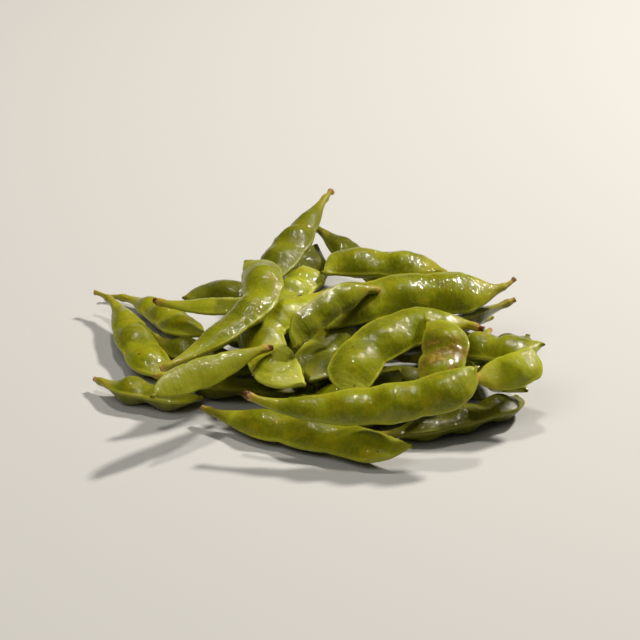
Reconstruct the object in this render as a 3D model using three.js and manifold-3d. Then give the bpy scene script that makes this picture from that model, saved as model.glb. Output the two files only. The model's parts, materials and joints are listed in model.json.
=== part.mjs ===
// A heap of boiled edamame: whole green soybean pods laid one on another on a flat surface.
// Millimetres, +Z up. The origin is on the surface, under the middle of the heap's bounding box.
//
// Each pod is one solid: the cut stem stub, the calyx collar, the neck, the bean chambers and the
// beak grew as one piece. The pods that show are laid one at a time, each at its own place and
// heading. The rest are packed under and between them by a rule with seeded draws.
import * as THREE from "three";
import { mergeVertices } from "three/addons/utils/BufferGeometryUtils.js";
import Module from "manifold-3d";

const wasm = await Module();
wasm.setup();

// ---- One pod ---------------------------------------------------------------------------------

// A typical three-bean pod. Every pod in the lists states only what differs from it.
const TYPICAL = {
  length: 58, // calyx to beak, along the pod's own line
  width: 13, // suture to suture at a full bean
  depth: 9.4, // through a full bean
  stem: 3.5, // stub of stem before the calyx
  cut: 0.9, // radius of the stub's end, which is a little swollen where it was picked
  beans: [0.9, 1, 0.85], // how full each chamber is, from the stem on
  bend: 24, // degrees turned in the pod's flat plane, from stem to beak, left as positive
  kink: 0, // degrees turned within a short stretch at kinkAt
  kinkAt: 0.5,
  hook: 25, // degrees that the stem stub curls, its cut end to the left as positive
  taper: 0.36, // share of the length over which the neck widens
  close: 0.2, // share of the length over which the far end rounds off
  point: 1.5, // thin point drawn out past the last chamber
  beak: 1, // the suture that runs out to the beak: 1 for the left one, -1 for the right
  pitch: 0, // degrees that the beak end is raised before the pod settles
  tip: 12, // degrees it may tip from there while settling
  roll: 0, // degrees about the pod's line before it settles, left side up as positive
  freedom: 12, // degrees it may roll from there while settling
  z: 0, // how high its middle is held by the pods packed under it
  skin: "green",
};

const STEM_RADIUS = 0.65;
const CUT_END_LENGTH = 1.2; // the swelling of the cut end dies out over this
const COLLAR_RADIUS = 1.25;
const COLLAR_LENGTH = 2.2;
const NECK_RADIUS = 1.05;
const NECK_POWER = 1.4; // above 1 the neck widens slowly at first
const BEAK_OFFSET = 0.74; // how far towards its suture the beak lies, in half widths
const POINT_RADIUS = 0.9; // of the thin point where it leaves the last chamber
const POINT_POWER = 0.6; // below 1 the point is blunt
const WAIST_WIDTH = 0.11; // width lost between two beans
const FLAT_DEPTH = 0.36; // depth of an empty chamber, as a share of a full one
const FALL_CONE = 0.06; // share of a straight cone in the rounding of the far end
const FALL_DEPTH_POWER = 0.8; // the depth closes later than the width
const BEAN_SPREAD = 0.4; // a bean's swelling, as a share of the bean spacing
const SECTION_POWER = 1.2; // above 1 the section is a lens with edges at the sutures
const LINE_STEPS = 160; // steps that the pod's line is integrated in
const KINK_REACH = 0.07; // share of the line that a kink spreads over
const HOOK_REACH = 0.09; // share of the line that the stub's curl spreads over

// Where along the body, from 0 at the calyx to 1 at the beak, the first and last of so many beans
// sit, and the room that a lone bean has.
const BEAN_ENDS = { 1: [0.55, 0.55], 2: [0.35, 0.72], 3: [0.27, 0.79], 4: [0.22, 0.83] };
const LONE_SPACING = 0.4;

const SIDES = 8;
const RINGS = 20;
const HIDDEN_RINGS = 15;

const { degToRad, clamp, lerp } = THREE.MathUtils;

function beanCentres(count) {
  const [first, last] = BEAN_ENDS[count];
  return Array.from({ length: count }, (_, i) => lerp(first, last, i / Math.max(1, count - 1)));
}

// The half width, half depth and sideways shift of the section at share s of the whole line.
function section(pod, s) {
  const whole = pod.stem + pod.length;
  const along = s * whole - pod.stem; // distance past the calyx
  const b = Math.min(1, along / (pod.length - pod.point));
  const centres = beanCentres(pod.beans.length);
  const spacing = centres.length > 1 ? centres[1] - centres[0] : LONE_SPACING;
  let swelling = 0;
  let nearest = 1;
  centres.forEach((centre, i) => {
    const away = (b - centre) / (spacing * BEAN_SPREAD);
    swelling += pod.beans[i] * Math.exp(-away * away);
    nearest = Math.min(nearest, Math.abs(b - centre) / (spacing / 2));
  });
  const waist = clamp(nearest, 0, 1) ** 2;
  const rise = Math.sin((Math.PI / 2) * clamp(b / pod.taper, 0, 1)) ** NECK_POWER;
  const left = clamp((1 - b) / pod.close, 0, 1);
  const round = Math.sqrt(Math.max(0, 1 - (1 - left) ** 2));
  const fall = lerp(round, left, FALL_CONE);
  const collar = Math.exp(-((along / COLLAR_LENGTH) ** 2));
  const cut = Math.exp(-(((s * whole) / CUT_END_LENGTH) ** 2));
  const stalk = along > 0 ? NECK_RADIUS : lerp(STEM_RADIUS, pod.cut, cut);
  const core = Math.max(stalk, lerp(STEM_RADIUS, COLLAR_RADIUS, collar));
  const half = (pod.width / 2) * (1 - WAIST_WIDTH * waist);
  const bulge = (pod.depth / 2) * lerp(FLAT_DEPTH, 1, Math.min(1, swelling));
  const lift = b > 0 ? rise : 0;
  const drawn = clamp(((1 - s) * whole) / pod.point, 0, 1) ** POINT_POWER;
  const thin = b > 0.5 ? POINT_RADIUS * drawn : 0;
  return {
    halfWidth: Math.max(thin, core * (1 - lift) + half * lift * fall),
    halfDepth: Math.max(thin, core * (1 - lift) + bulge * lift * fall ** FALL_DEPTH_POWER),
    shift: pod.beak * half * BEAK_OFFSET * (1 - fall),
    power: lerp(1, SECTION_POWER, lift),
  };
}

// The pod's own line, as points with a sideways direction at each. It lies in the XY plane, with
// its two ends on the X axis.
function podLine(pod) {
  const whole = pod.stem + pod.length;
  const reach = HOOK_REACH + pod.stem / whole / 2;
  const turns = Array.from({ length: LINE_STEPS + 1 }, (_, i) => {
    const s = i / LINE_STEPS;
    return (
      degToRad(pod.bend) * (s - 0.5) +
      degToRad(pod.kink) * 0.5 * Math.tanh((s - pod.kinkAt) / KINK_REACH) -
      degToRad(pod.hook) * Math.exp(-s / reach)
    );
  });
  const chord = Math.atan2(
    turns.reduce((sum, t) => sum + Math.sin(t), 0),
    turns.reduce((sum, t) => sum + Math.cos(t), 0),
  );
  const at = new THREE.Vector3();
  return turns.map((t) => {
    const [x, y] = [Math.cos(t - chord), Math.sin(t - chord)];
    const frame = { at: at.clone(), side: new THREE.Vector3(-y, x, 0) };
    at.addScaledVector(new THREE.Vector3(x, y, 0), whole / LINE_STEPS);
    return frame;
  });
}

// A sphere's rings drawn out along the pod's line, closer together near both ends. Its poles
// become the cut end and the beak. The solid's centre of mass is at the origin.
function podGeometry(pod, rings) {
  const frames = podLine(pod);
  const geometry = new THREE.SphereGeometry(1, SIDES, rings);
  const place = geometry.getAttribute("position");
  const uv = geometry.getAttribute("uv");
  const point = new THREE.Vector3();
  const side = new THREE.Vector3();
  for (let i = 0; i < place.count; i++) {
    const v = 1 - uv.getY(i);
    const s = v - Math.sin(2 * Math.PI * v) / (8 * Math.PI);
    const around = (-2 * Math.PI * Math.round(uv.getX(i) * SIDES - 0.001)) / SIDES;
    const isPole = v < 1e-6 || v > 1 - 1e-6;
    const { halfWidth, halfDepth, shift, power } = section(pod, s);
    const spot = s * LINE_STEPS;
    const low = Math.min(LINE_STEPS - 1, Math.floor(spot));
    const [a, b] = [frames[low], frames[low + 1]];
    const sine = Math.sin(around);
    point.lerpVectors(a.at, b.at, spot - low);
    side.lerpVectors(a.side, b.side, spot - low);
    point.addScaledVector(side, shift + (isPole ? 0 : halfWidth * Math.cos(around)));
    if (!isPole) point.z += halfDepth * Math.sign(sine) * Math.abs(sine) ** power;
    place.setXYZ(i, point.x, point.y, point.z);
  }
  geometry.deleteAttribute("normal");
  geometry.deleteAttribute("uv");
  const merged = mergeVertices(geometry, 1e-4);
  const centre = centreOfMass(merged);
  return merged.translate(-centre.x, -centre.y, -centre.z);
}

// The centre of mass, from the signed tetrahedra that the faces make with the origin.
function centreOfMass(geometry) {
  const place = geometry.getAttribute("position");
  const [a, b, c] = [new THREE.Vector3(), new THREE.Vector3(), new THREE.Vector3()];
  const cross = new THREE.Vector3();
  const sum = new THREE.Vector3();
  let volume = 0;
  for (let i = 0; i < geometry.index.count; i += 3) {
    a.fromBufferAttribute(place, geometry.index.getX(i));
    b.fromBufferAttribute(place, geometry.index.getX(i + 1));
    c.fromBufferAttribute(place, geometry.index.getX(i + 2));
    const part = a.dot(cross.crossVectors(b, c)) / 6;
    sum.addScaledVector(a.add(b).add(c), part / 4);
    volume += part;
  }
  return sum.divideScalar(volume);
}

// ---- Settling --------------------------------------------------------------------------------

const CELL = 0.5; // the heap's height is kept on a grid this fine
const REACH = 130; // and out to here on each side
const CELLS = Math.round((2 * REACH) / CELL);
const PRESSED = 0.35; // how far a pod's underside is flattened by the surface it lies on
const CLEARANCE = 0.3; // between one pod and the next
const TURN_STEPS = [4, 2, 1]; // degrees that a settling pod is tipped and rolled by
const MOST_TURNS = 12; // at each of those steps
const LEAST_GAIN = 0.02; // a turn that lowers the pod by less isn't taken
const heights = new Float32Array(CELLS * CELLS).fill(-PRESSED);

// Calls visit(cell, height) for each grid cell under each triangle of a placed geometry.
function rasterise(geometry, matrix, visit) {
  const place = geometry.getAttribute("position");
  const index = geometry.index;
  const e = matrix.elements;
  const n = place.count;
  const xs = new Float32Array(n);
  const ys = new Float32Array(n);
  const zs = new Float32Array(n);
  for (let i = 0; i < n; i++) {
    const [x, y, z] = [place.getX(i), place.getY(i), place.getZ(i)];
    xs[i] = (e[0] * x + e[4] * y + e[8] * z + e[12] + REACH) / CELL - 0.5;
    ys[i] = (e[1] * x + e[5] * y + e[9] * z + e[13] + REACH) / CELL - 0.5;
    zs[i] = e[2] * x + e[6] * y + e[10] * z + e[14];
  }
  for (let t = 0; t < index.count; t += 3) {
    const [a, b, c] = [index.getX(t), index.getX(t + 1), index.getX(t + 2)];
    const [x0, y0, x1, y1, x2, y2] = [xs[a], ys[a], xs[b], ys[b], xs[c], ys[c]];
    const area = (x1 - x0) * (y2 - y0) - (x2 - x0) * (y1 - y0);
    if (Math.abs(area) < 1e-9) continue;
    const firstColumn = Math.ceil(Math.min(x0, x1, x2));
    const lastColumn = Math.floor(Math.max(x0, x1, x2));
    const firstRow = Math.ceil(Math.min(y0, y1, y2));
    const lastRow = Math.floor(Math.max(y0, y1, y2));
    for (let row = firstRow; row <= lastRow; row++)
      for (let column = firstColumn; column <= lastColumn; column++) {
        const u = ((x1 - column) * (y2 - row) - (x2 - column) * (y1 - row)) / area;
        const v = ((x2 - column) * (y0 - row) - (x0 - column) * (y2 - row)) / area;
        const w = 1 - u - v;
        if (u < 0 || v < 0 || w < 0) continue;
        visit(row * CELLS + column, u * zs[a] + v * zs[b] + w * zs[c]);
      }
  }
}

function matrixOf(pod, { pitch, roll, x, y, z }) {
  const turn = new THREE.Euler(degToRad(roll), degToRad(-pitch), degToRad(pod.heading), "ZYX");
  return new THREE.Matrix4().makeRotationFromEuler(turn).setPosition(x, y, z);
}

// How high the pod's centre of mass is when it comes down on the heap in that pose.
function restHeight(pod, geometry, pose) {
  let lift = -Infinity;
  rasterise(geometry, matrixOf(pod, { ...pose, z: 0 }), (cell, z) => {
    const need = heights[cell] - z;
    if (need > lift) lift = need;
  });
  return lift;
}

// Tips and rolls the pod, in ever smaller steps, to where its centre of mass is lowest, and stops
// where the pods packed under it will hold it.
function settle(pod, geometry) {
  const { x, y } = pod;
  let best = { pitch: pod.pitch, roll: pod.roll, x, y };
  best.z = restHeight(pod, geometry, best);
  for (const step of TURN_STEPS)
    for (let tries = 0, moved = true; moved && tries < MOST_TURNS && best.z > pod.z; tries++) {
      moved = false;
      for (const [dp, dr] of [[step, 0], [-step, 0], [0, step], [0, -step]]) {
        const pose = { ...best, pitch: best.pitch + dp, roll: best.roll + dr };
        if (Math.abs(pose.pitch - pod.pitch) > pod.tip) continue;
        if (Math.abs(pose.roll - pod.roll) > pod.freedom) continue;
        pose.z = restHeight(pod, geometry, pose);
        if (pose.z > best.z - LEAST_GAIN) continue;
        best = pose;
        moved = true;
      }
    }
  return { ...best, z: Math.max(best.z, pod.z) };
}

function solidOf(geometry) {
  return new wasm.Manifold(
    new wasm.Mesh({
      numProp: 3,
      vertProperties: geometry.getAttribute("position").array,
      triVerts: new Uint32Array(geometry.index.array),
    }),
  );
}

// ---- Laying pods one on another ----------------------------------------------------------------

const LIFT = 0.2; // a pod that touches one under it is raised in steps of this
const MOST_LIFTS = 150;
const laid = []; // every pod so far, as { name, skin, heading, pose, solid, box }

function boxOf(solid) {
  const { min, max } = solid.boundingBox();
  return new THREE.Box3(new THREE.Vector3(...min), new THREE.Vector3(...max));
}

// Whether a placed pod keeps its clearance to every pod laid so far.
function isFree(solid) {
  const reach = boxOf(solid).expandByScalar(CLEARANCE);
  return laid.every(
    (other) => !reach.intersectsBox(other.box) || solid.minGap(other.solid, CLEARANCE) >= CLEARANCE,
  );
}

function keep(pod, base, pose) {
  const solid = base.transform(matrixOf(pod, pose).elements);
  const { name, skin, heading } = pod;
  laid.push({ name, skin, heading, pose, solid, box: boxOf(solid) });
}

// Lays a pod at its own place, as low as it will lie or as high as it is held.
function lay(pod) {
  const geometry = podGeometry(pod, RINGS);
  const base = solidOf(geometry);
  const pose = settle(pod, geometry);
  for (let lifts = 0; lifts < MOST_LIFTS; lifts++) {
    if (isFree(base.transform(matrixOf(pod, pose).elements))) break;
    pose.z += LIFT;
  }
  rasterise(geometry, matrixOf(pod, pose), (cell, z) => {
    if (z > heights[cell]) heights[cell] = z;
  });
  keep(pod, base, pose);
}

// ---- Packing pods under the ones that show -----------------------------------------------------

const PACKED = 36; // pods that are tried under and between the others
const STARTS = 900; // places tried for each
const SINKS = 200; // small moves tried from the first free place
const PACK_REACH = { x: 46, y: 42 }; // no packed pod's middle lies further out than this
const PACK_MIDDLE_Y = 1; // from the middle of the pods that show
const MOUND = 22; // how high the packed pods' middles may start at the centre of the heap
const EDGE = 5; // and at its edge
const LOWEST = 4; // no packed pod's middle starts lower
const START_TURN = { heading: 180, pitch: 18, roll: 60 }; // most either way at the start
const NUDGE = { shift: 1.5, heading: 6, pitch: 4, roll: 8 }; // most either way in a small move
const SINK = { least: 0.05, most: 1.5 }; // how far a small move goes down
const MOST_PITCH = 25;

// How far the packed pods' forms vary.
const PACKED_BEANS = [[0.7, 1], [0.8, 1], [0.5, 1]];
const PACKED_LENGTH = [42, 56];
const PACKED_WIDTH = [11.5, 13.5];
const PACKED_DEPTH = [8, 9.6];
const PACKED_BEND = [-45, 45];
const TWO_BEANS = 0.4; // share of them with two beans

// Steps between 0 and 1 that spread the shares evenly over the pods, the traits and both.
const SPREAD = { pod: 0.6180339887, trait: 0.7548776662, both: 0.5698402909 };

function share(index, trait) {
  return (index * SPREAD.pod + trait * SPREAD.trait + index * trait * SPREAD.both) % 1;
}

// A pod like the others, with its own length, width, bend and beans.
function packedPod(index) {
  const from = (trait, [low, high]) => lerp(low, high, share(index, trait));
  const beans = PACKED_BEANS.map((range, i) => from(i + 1, range));
  return {
    ...TYPICAL,
    name: `packed_${String(index).padStart(2, "0")}`,
    length: from(4, PACKED_LENGTH),
    width: from(5, PACKED_WIDTH),
    depth: from(6, PACKED_DEPTH),
    bend: from(7, PACKED_BEND),
    beans: share(index, 8) < TWO_BEANS ? beans.slice(0, 2) : beans,
    beak: share(index, 9) < 0.5 ? -1 : 1,
    skin: share(index, 10) < 0.5 ? "deep" : "green",
  };
}

// Draws from low to high, the same ones each time.
let seed = 127;
function draw(low, high) {
  seed = (seed * 1664525 + 1013904223) % 4294967296;
  return low + ((high - low) * seed) / 4294967296;
}

// Draws a number up to most, either way.
function drawWithin(most) {
  return draw(-most, most);
}

// Tries places and headings until one is free, then sinks the pod by small moves until it rests.
function pack(pod) {
  const geometry = podGeometry(pod, HIDDEN_RINGS);
  const base = solidOf(geometry);
  const fits = (pose) => {
    const solid = base.transform(matrixOf(pose, pose).elements);
    return boxOf(solid).min.z >= -PRESSED && isFree(solid);
  };
  let best = null;
  for (let tries = 0; tries < STARTS && !best; tries++) {
    const away = Math.sqrt(draw(0, 1));
    const angle = draw(0, 2 * Math.PI);
    const pose = {
      x: PACK_REACH.x * away * Math.cos(angle),
      y: PACK_MIDDLE_Y + PACK_REACH.y * away * Math.sin(angle),
      z: draw(LOWEST, lerp(MOUND, EDGE, away ** 2)),
      heading: drawWithin(START_TURN.heading),
      pitch: drawWithin(START_TURN.pitch),
      roll: drawWithin(START_TURN.roll),
    };
    if (fits(pose)) best = pose;
  }
  if (!best) return;
  for (let tries = 0; tries < SINKS; tries++) {
    const pose = {
      x: best.x + drawWithin(NUDGE.shift),
      y: best.y + drawWithin(NUDGE.shift),
      z: best.z - draw(SINK.least, SINK.most),
      heading: best.heading + drawWithin(NUDGE.heading),
      pitch: clamp(best.pitch + drawWithin(NUDGE.pitch), -MOST_PITCH, MOST_PITCH),
      roll: best.roll + drawWithin(NUDGE.roll),
    };
    if (fits(pose)) best = pose;
  }
  keep({ ...pod, heading: best.heading }, base, best);
}

// ---- The heap --------------------------------------------------------------------------------

// The pods that show, in the order that they are laid. z is where a pod's middle is held by those
// packed under it; the pods without z lie on the surface.
const SHOWN = [
  { name: "left_low", x: -51, y: -29, heading: -26, length: 34, beans: [1, 0.9] },
  { name: "left_under", x: -33, y: -4, heading: -35, length: 44, skin: "deep" },
  {
    name: "left_back", x: -48, y: 24, heading: -56, length: 50, stem: 7, bend: -12, hook: -65,
    taper: 0.5,
  },
  {
    name: "left_tail", x: -56, y: 4, heading: -67, length: 58, stem: 7, bend: 22, hook: -60,
    taper: 0.55,
  },
  { name: "left_far", x: -21, y: 42, heading: 150, length: 50, beans: [1, 0.8], skin: "deep" },
  {
    name: "back_prop", x: -4, y: 57, heading: 67, roll: 75, length: 32, beans: [1, 1],
    skin: "deep",
  },
  {
    name: "back_low", x: 15, y: 54, z: 10, heading: -48, pitch: -10, tip: 3, length: 50,
    stem: 6, hook: -50, taper: 0.5, skin: "deep",
  },
  { name: "right_behind", x: 48, y: 0, heading: 12, length: 44, bend: 30, skin: "deep" },
  { name: "front_under", x: 42, y: -46, heading: 25, length: 52, bend: 30, skin: "deep" },
  { name: "front_fill", x: 19, y: -41, heading: 27, length: 44, bend: 20, skin: "deep" },
  { name: "right_stub", x: 52, y: -22, z: 10, heading: -84, length: 44, beans: [1, 1] },
  {
    name: "back_under", x: -9, y: 25, z: 13.5, heading: 57, pitch: 4, tip: 2, length: 38,
    bend: 16, skin: "pale",
  },
  {
    name: "left_edge", x: -26, y: 8, z: 16.5, heading: -14, pitch: 6, roll: 5, tip: 8,
    length: 46, depth: 7, width: 11, beans: [0.4, 0.6], stem: 3, taper: 0.5, skin: "pale",
  },
  {
    name: "back_tip", x: -9, y: 53, z: 18, heading: -113, pitch: -10, tip: 4, length: 51,
    stem: 5, cut: 1.35, bend: -8, hook: 10, taper: 0.65,
  },
  {
    name: "centre_under", x: 7, y: -6, z: 11, heading: -126, pitch: -4, roll: -20, tip: 4,
    length: 54, width: 14, beans: [0.8, 1, 0.3], bend: 29, close: 0.15,
  },
  {
    name: "right_under", x: 41, y: 3, z: 12, heading: -137, roll: 40, length: 42,
    beans: [0.5, 0.8], skin: "deep",
  },
  {
    name: "centre_kinked", x: -14, y: -17, z: 17, heading: -106, pitch: -12, tip: 4,
    length: 60, width: 14.5, beans: [1, 1, 0.3], bend: 10, kink: 60, close: 0.14, skin: "pale",
  },
  {
    name: "right_big", x: 29, y: 4, z: 20, heading: -162, roll: -40, tip: 6, freedom: 6,
    length: 60, width: 15.5, depth: 10, stem: 6, beans: [1, 1, 0.6], bend: 48, hook: -75,
    taper: 0.22, close: 0.45,
  },
  {
    name: "back_flat", x: 19, y: 33, z: 19.5, heading: 167, roll: -14, tip: 3, length: 40,
    width: 13.5, beans: [0.9, 1], bend: 25, taper: 0.25, close: 0.14,
  },
  {
    name: "centre_thin", x: 2, y: -15, z: 25, heading: -132, roll: -62, tip: 4, freedom: 6,
    length: 40, width: 9, depth: 6, beans: [0.7, 0.8, 0.6], stem: 3,
  },
  {
    name: "left_cross", x: -22, y: -12, z: 25, heading: 64, pitch: 10, tip: 2, freedom: 8,
    length: 69, stem: 2.5, beans: [0.7, 0.9, 1], bend: 16, kink: 36, kinkAt: 0.6, taper: 0.42,
    close: 0.14,
  },
  {
    name: "front_rim", x: -2, y: -59, z: 5, heading: -29, roll: 20, tip: 3, freedom: 6,
    length: 65, bend: -12,
  },
  {
    name: "right_back", x: 52, y: -28, z: 18, heading: -36, pitch: 2, roll: 10, tip: 4,
    length: 32, beans: [0.9, 1], close: 0.14,
  },
  {
    name: "right_front", x: 56, y: -44, z: 17, heading: 24, roll: 20, tip: 4, length: 24,
    width: 12, stem: 2, beans: [1], skin: "pale",
  },
  {
    name: "centre_arch", x: 20, y: -30, z: 20.5, heading: -141, pitch: -6, roll: -24, tip: 3,
    length: 59, width: 15, stem: 3.5, cut: 1.2, bend: 82, taper: 0.3, close: 0.12,
  },
  {
    name: "blotched", x: 36, y: -38, z: 20.5, heading: 72, pitch: 22, tip: 3, freedom: 8,
    length: 38, width: 14.5, beans: [0.8, 1], bend: 64, taper: 0.5, close: 0.34, point: 4,
  },
  {
    name: "left_leaf", x: -33, y: -48, z: 20, heading: -136, pitch: 4, roll: -50, tip: 2,
    freedom: 6, length: 47, width: 9.5, depth: 6, stem: 3, beans: [0.2, 0.35, 0.2], bend: -20,
    taper: 0.6, close: 0.4, skin: "pale",
  },
  {
    name: "front_long", x: 19.5, y: -64, z: 18, heading: -3, pitch: 5, roll: 40, tip: 2,
    freedom: 6, length: 70, stem: 2, cut: 1.2, beans: [0.6, 0.9, 1, 0.9], bend: 32, taper: 0.6,
    close: 0.16,
  },
];

// Colours of the skin, from the palest pod to the deepest.
const SKINS = {
  pale: "#9dab3d",
  green: "#87962c",
  deep: "#6c7c1e",
};

SHOWN.forEach((pod) => lay({ ...TYPICAL, ...pod }));
for (let i = 1; i <= PACKED; i++) pack(packedPod(i));

const bounds = new THREE.Box3();
laid.forEach(({ box }) => bounds.union(box));
const middle = bounds.getCenter(new THREE.Vector3());

// What a pod presses into the surface becomes a small flat spot under it.
function podMesh({ name, skin, heading, pose, solid }) {
  const matrix = matrixOf({ heading }, pose);
  const { numProp, vertProperties, triVerts } = solid.trimByPlane([0, 0, 1], 0).getMesh();
  const geometry = new THREE.BufferGeometry();
  const places = new THREE.BufferAttribute(new Float32Array(vertProperties), numProp);
  geometry.setAttribute("position", places);
  geometry.setIndex(new THREE.BufferAttribute(new Uint32Array(triVerts), 1));
  geometry.applyMatrix4(matrix.clone().invert());
  geometry.computeVertexNormals();
  const material = new THREE.MeshStandardMaterial({
    color: SKINS[skin],
    roughness: 0.35,
    metalness: 0,
  });
  const mesh = new THREE.Mesh(geometry, material);
  mesh.name = name;
  mesh.position.set(pose.x - middle.x, pose.y - middle.y, pose.z);
  mesh.rotation.setFromRotationMatrix(matrix, "ZYX");
  return mesh;
}

const heap = new THREE.Group();
laid.forEach((pod) => heap.add(podMesh(pod)));

export default heap;
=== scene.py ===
"""Visual model of a heap of boiled edamame: whole green soybean pods laid one on another.

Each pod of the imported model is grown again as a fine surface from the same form, laid where its
own solid lies, and dressed as boiled, wet pod skin. Sizes are in millimetres until a mesh is made.
"""

from __future__ import annotations

import json
import logging
import math
from dataclasses import dataclass, field
from enum import Enum
from functools import partial
from itertools import product
from typing import Any

import bpy
import numpy as np
import numpy.typing as npt
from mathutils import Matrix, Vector

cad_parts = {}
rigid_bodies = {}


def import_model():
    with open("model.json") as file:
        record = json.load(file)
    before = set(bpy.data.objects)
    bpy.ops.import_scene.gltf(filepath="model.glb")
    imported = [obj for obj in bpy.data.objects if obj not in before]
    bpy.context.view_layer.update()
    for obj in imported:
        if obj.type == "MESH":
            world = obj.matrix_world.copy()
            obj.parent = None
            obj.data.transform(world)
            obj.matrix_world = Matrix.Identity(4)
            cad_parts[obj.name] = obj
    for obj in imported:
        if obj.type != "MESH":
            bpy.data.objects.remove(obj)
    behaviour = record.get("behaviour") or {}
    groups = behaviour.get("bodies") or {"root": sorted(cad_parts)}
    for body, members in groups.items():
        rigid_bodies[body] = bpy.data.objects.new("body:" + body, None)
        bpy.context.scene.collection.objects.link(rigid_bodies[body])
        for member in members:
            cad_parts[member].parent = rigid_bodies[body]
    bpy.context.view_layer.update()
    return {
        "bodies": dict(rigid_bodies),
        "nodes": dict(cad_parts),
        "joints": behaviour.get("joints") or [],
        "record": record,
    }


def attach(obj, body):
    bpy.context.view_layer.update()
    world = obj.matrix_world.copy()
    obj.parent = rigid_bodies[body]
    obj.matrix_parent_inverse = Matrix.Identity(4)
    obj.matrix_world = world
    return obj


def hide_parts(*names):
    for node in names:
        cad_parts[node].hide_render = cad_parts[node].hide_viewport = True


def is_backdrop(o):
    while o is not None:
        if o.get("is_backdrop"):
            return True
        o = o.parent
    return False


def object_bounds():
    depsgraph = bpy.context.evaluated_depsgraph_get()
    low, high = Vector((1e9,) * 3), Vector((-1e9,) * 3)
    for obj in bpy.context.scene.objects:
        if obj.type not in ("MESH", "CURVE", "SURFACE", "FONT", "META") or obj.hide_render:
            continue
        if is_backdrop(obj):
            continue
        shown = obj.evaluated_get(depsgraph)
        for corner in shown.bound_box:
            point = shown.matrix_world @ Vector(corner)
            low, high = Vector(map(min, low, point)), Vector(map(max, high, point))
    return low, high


Array = npt.NDArray[np.float64]

log = logging.getLogger("edamame")

MM = 0.001  # one millimetre in Blender's metres
NO_LESS = 1e-6  # keeps a division from one by nothing

# ---- One pod's form -------------------------------------------------------------------------

STEM_RADIUS = 0.65
CUT_END_LENGTH = 1.2  # how far the flare of the cut end reaches
COLLAR_RADIUS = 1.25
COLLAR_LENGTH = 2.2
NECK_RADIUS = 1.05
NECK_POWER = 1.4  # above 1, so the neck starts to widen slowly
BEAK_OFFSET = 0.74  # how far the point lies towards one suture, in half widths
POINT_RADIUS = 0.9
POINT_POWER = 0.6  # below 1, so the point is blunt
WAIST_WIDTH = 0.11  # share of the width that is lost between two beans
FLAT_DEPTH = 0.36  # share of the depth that the wall has without beans
FALL_CONE = 0.06  # share of the far end's fall that is straight
FALL_DEPTH_POWER = 0.8  # below 1, so the depth falls later than the width
BEAN_SPREAD = 0.4  # reach of a bean's swelling, in spacings
SECTION_POWER = 1.2  # above 1, so the section is leaner towards its sutures
LINE_STEPS = 160
KINK_REACH = 0.07  # share of the line
HOOK_REACH = 0.09  # share of the line, besides half of the stem's
# The first and the last bean, in shares of the body, by the number of beans.
BEAN_ENDS = {1: (0.55, 0.55), 2: (0.35, 0.72), 3: (0.27, 0.79), 4: (0.22, 0.83)}
LONE_SPACING = 0.4  # share of the body that a single bean takes
SOLID_SIDES = 8
SHOWN_RINGS = 20
PACKED_RINGS = 15


def towards_ends(v: Array) -> Array:
    """Moves even shares closer together at both ends: v - sin(2 pi v) / (8 pi)."""
    return v - np.sin(2 * math.pi * v) / (8 * math.pi)


@dataclass
class Section:
    """The section's measures at each place along a pod.

    Attributes:
        along: Distance past the calyx.
        body: Share of the way from the calyx to the end of the last chamber.
        lift: How far the neck has widened into the body, 0 to 1.
        fall: How much of the width is left towards the far end, 1 to 0.
        core: Radius of the stalk inside the neck.
        half_width: Half the distance from suture to suture.
        shell: Half depth of the pod's wall alone.
        bean: Half depth that the beans add in the middle.
        shift: Sideways offset of the section towards the beak.
        thin: Least radius near the beak, drawn in to a point.
    """

    along: Array
    body: Array
    lift: Array
    fall: Array
    core: Array
    half_width: Array
    shell: Array
    bean: Array
    shift: Array
    thin: Array

    @property
    def full(self) -> Array:
        """How full of bean the chamber is, 0 to 1."""
        return self.bean / np.maximum(self.bean + self.shell, NO_LESS) / (1 - FLAT_DEPTH)

    @property
    def fade(self) -> Array:
        """How strong the wall's relief is: none at the neck and the point, 1 between them."""
        return self.lift * np.minimum(1.0, self.fall * 2)


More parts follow.
